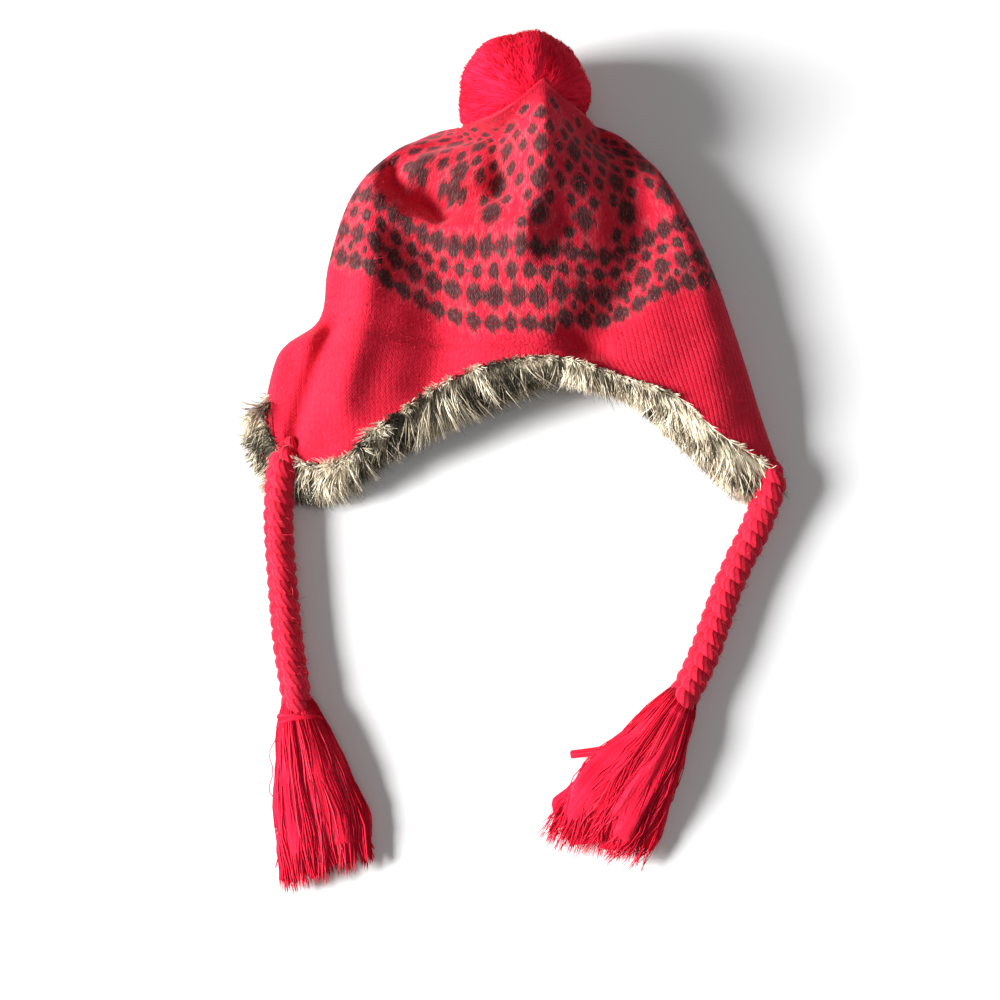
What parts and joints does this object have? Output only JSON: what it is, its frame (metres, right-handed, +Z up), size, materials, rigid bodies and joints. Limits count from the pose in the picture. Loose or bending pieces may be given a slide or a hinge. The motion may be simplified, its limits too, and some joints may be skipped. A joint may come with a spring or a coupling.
{
  "type": "knitted ski hat with ear flaps",
  "caption": "Knitted winter hat with ear flaps, a fur-lined hem, a yarn pompom and braided ties that end in tassels, lying flat.",
  "frame": {"origin": "middle of the hat's plan, braids and tassels left out, at the height of the surface that it lies on", "axes": "+X to the right of the face that lies uppermost, +Y from the hem towards the pompom, +Z up from the surface"},
  "size_m": [0.3427, 0.5301, 0.0864],
  "materials": {
    "knit": "red stockinette with a charcoal dotted yoke",
    "fur": "mottled cream, taupe and charcoal pile",
    "pompom_yarn": "cut wool yarn",
    "tie_yarn": "three-strand braid of wool yarn",
    "tassel_yarn": "loose cut wool yarn"
  },
  "bodies": {
    "root": {"knit_shell": "knit", "fur_trim": "fur", "pompom": "pompom_yarn", "tie_left": "tie_yarn", "tie_right": "tie_yarn", "tassel_left": "tassel_yarn", "tassel_right": "tassel_yarn"}
  },
  "joints": []
}
